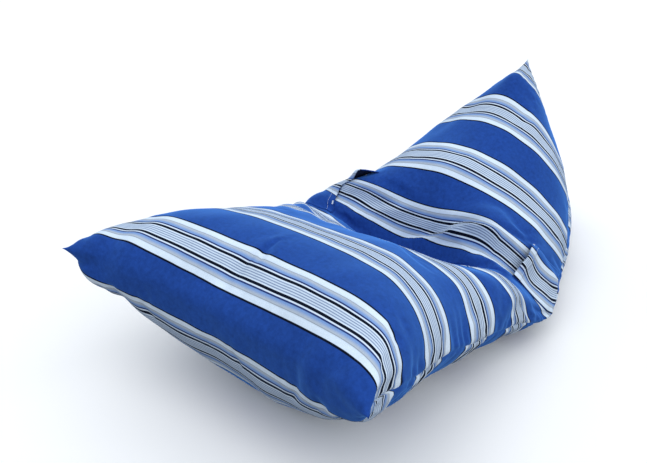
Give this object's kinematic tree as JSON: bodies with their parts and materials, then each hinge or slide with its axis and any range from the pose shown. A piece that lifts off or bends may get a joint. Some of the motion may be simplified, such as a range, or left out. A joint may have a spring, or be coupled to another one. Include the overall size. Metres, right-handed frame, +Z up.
{
  "type": "outdoor pouf",
  "caption": "Outdoor floor pouf: a long striped cloth pouch filled with beads, with a sunken seat, a raised back that ends in a peak, and a patch pocket on each flank.",
  "frame": {"origin": "on the ground, in the middle of the pouf's length and width", "axes": "+Z up; +Y from the front fold to the back seam; +X the right-hand side of someone who stands in front of the seat and faces the peak"},
  "size_m": [0.85, 1.805, 0.579],
  "materials": {
    "striped_cloth": "woven outdoor cloth, blue bands between groups of white, light blue and black lines",
    "pocket_cloth": "the same woven striped cloth, hemmed at the mouth"
  },
  "bodies": {
    "root": {"pouf_body": "striped_cloth", "pocket_right": "pocket_cloth", "pocket_left": "pocket_cloth"}
  },
  "joints": []
}
